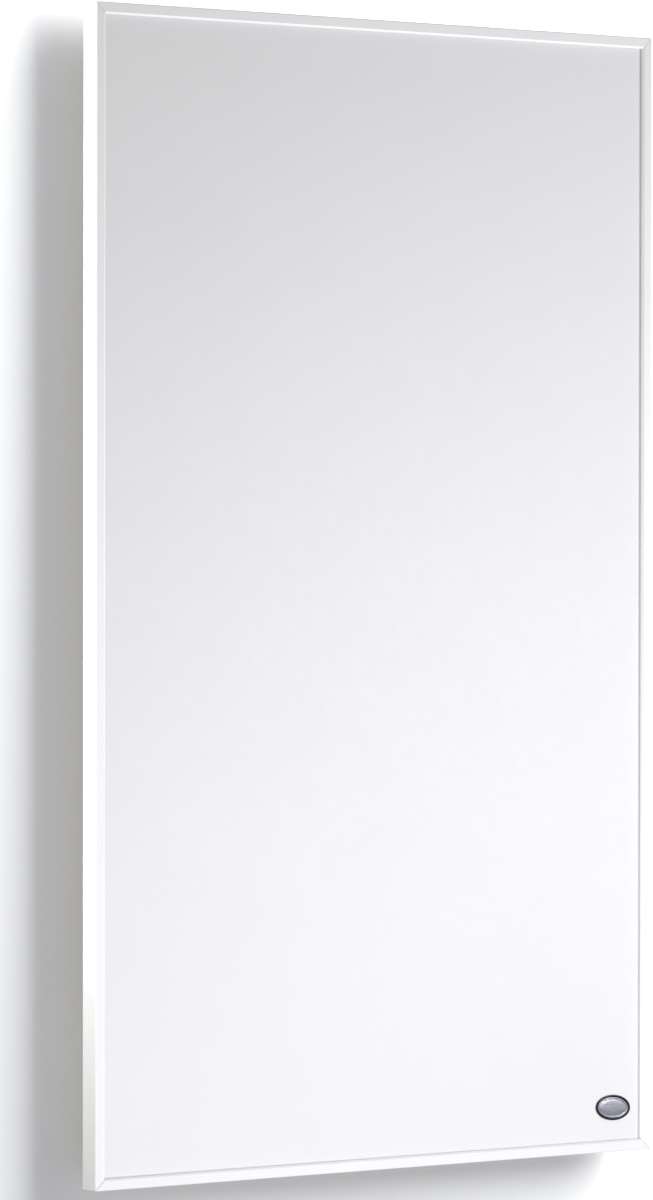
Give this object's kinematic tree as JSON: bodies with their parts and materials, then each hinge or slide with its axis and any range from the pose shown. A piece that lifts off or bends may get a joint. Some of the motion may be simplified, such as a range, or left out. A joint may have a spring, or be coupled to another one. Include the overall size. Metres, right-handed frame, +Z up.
{
  "type": "infrared panel heater",
  "caption": "Flat white wall-hung infrared heating panel in a mitred frame, on stand-off fixings with keyhole hangers, with a connection box behind.",
  "frame": {"origin": "centre of the four wall fixings, on the wall plane", "axes": "+Y goes into the wall, the heating face looks along -Y; +Z is up; +X is to the right seen from the front"},
  "size_m": [0.6, 0.045, 1],
  "materials": {
    "frame_white": "satin white powder coat on extruded aluminium, faint lines along the rail",
    "plate_white": "fine matt white powder coat with a soft grain",
    "zinc_sheet": "galvanised sheet with a soft spangle",
    "fastener_steel": "zinc plated steel",
    "bare_aluminium": "mill finish",
    "foil": "bright rolled foil",
    "copper": "rolled copper strip",
    "laminate": "dark resin laminate with a carbon layer",
    "wool": "pressed mineral wool",
    "box_white": "moulded, fine sparked texture",
    "gland_grey": "moulded polyamide",
    "seal_grey": "silicone, matt",
    "gland_rubber": "black rubber",
    "ceramic": "steatite-like moulding",
    "badge": "silver field with a gloss black rim, plain",
    "lead_brown": "silicone insulation",
    "lead_blue": "silicone insulation",
    "lead_green_yellow": "silicone insulation"
  },
  "bodies": {
    "wall_fixings": {"standoff_bl": "box_white", "standoff_br": "box_white", "standoff_tl": "box_white", "standoff_tr": "box_white", "wall_screw_bl": "fastener_steel", "wall_screw_br": "fastener_steel", "wall_screw_tl": "fastener_steel", "wall_screw_tr": "fastener_steel"},
    "panel": {"badge_plate": "badge", "box_screw_left": "fastener_steel", "box_screw_right": "fastener_steel", "busbar_left": "copper", "busbar_right": "copper", "corner_key_bl": "bare_aluminium", "corner_key_br": "bare_aluminium", "corner_key_tl": "bare_aluminium", "corner_key_tr": "bare_aluminium", "corner_screw_bl": "fastener_steel", "corner_screw_br": "fastener_steel", "corner_screw_tl": "fastener_steel", "corner_screw_tr": "fastener_steel", "earth_screw": "fastener_steel", "edge_seal": "seal_grey", "frame_bottom": "frame_white", "frame_left": "frame_white", "frame_right": "frame_white", "frame_top": "frame_white", "front_plate": "plate_white", "gland_body": "gland_grey", "gland_cap": "gland_grey", "gland_locknut": "gland_grey", "gland_seal": "gland_rubber", "hanger_bl": "zinc_sheet", "hanger_br": "zinc_sheet", "hanger_rivet_bl_a": "bare_aluminium", "hanger_rivet_bl_b": "bare_aluminium", "hanger_rivet_br_a": "bare_aluminium", "hanger_rivet_br_b": "bare_aluminium", "hanger_rivet_tl_a": "bare_aluminium", "hanger_rivet_tl_b": "bare_aluminium", "hanger_rivet_tr_a": "bare_aluminium", "hanger_rivet_tr_b": "bare_aluminium", "hanger_tl": "zinc_sheet", "hanger_tr": "zinc_sheet", "heating_laminate": "laminate", "insulation_board": "wool", "junction_box": "box_white", "junction_box_lid": "box_white", "lead_earth": "lead_green_yellow", "lead_live": "lead_brown", "lead_neutral": "lead_blue", "lead_switched": "lead_brown", "lid_screw_left": "fastener_steel", "lid_screw_right": "fastener_steel", "rear_cover": "zinc_sheet", "reflective_foil": "foil", "terminal_block": "gland_grey", "thermal_cutout": "ceramic"}
  },
  "joints": [
    {"name": "panel_lift", "type": "slide", "parent": "wall_fixings", "child": "panel", "axis": [0, 0, 1], "range_m": [0, 0.012]}
  ]
}
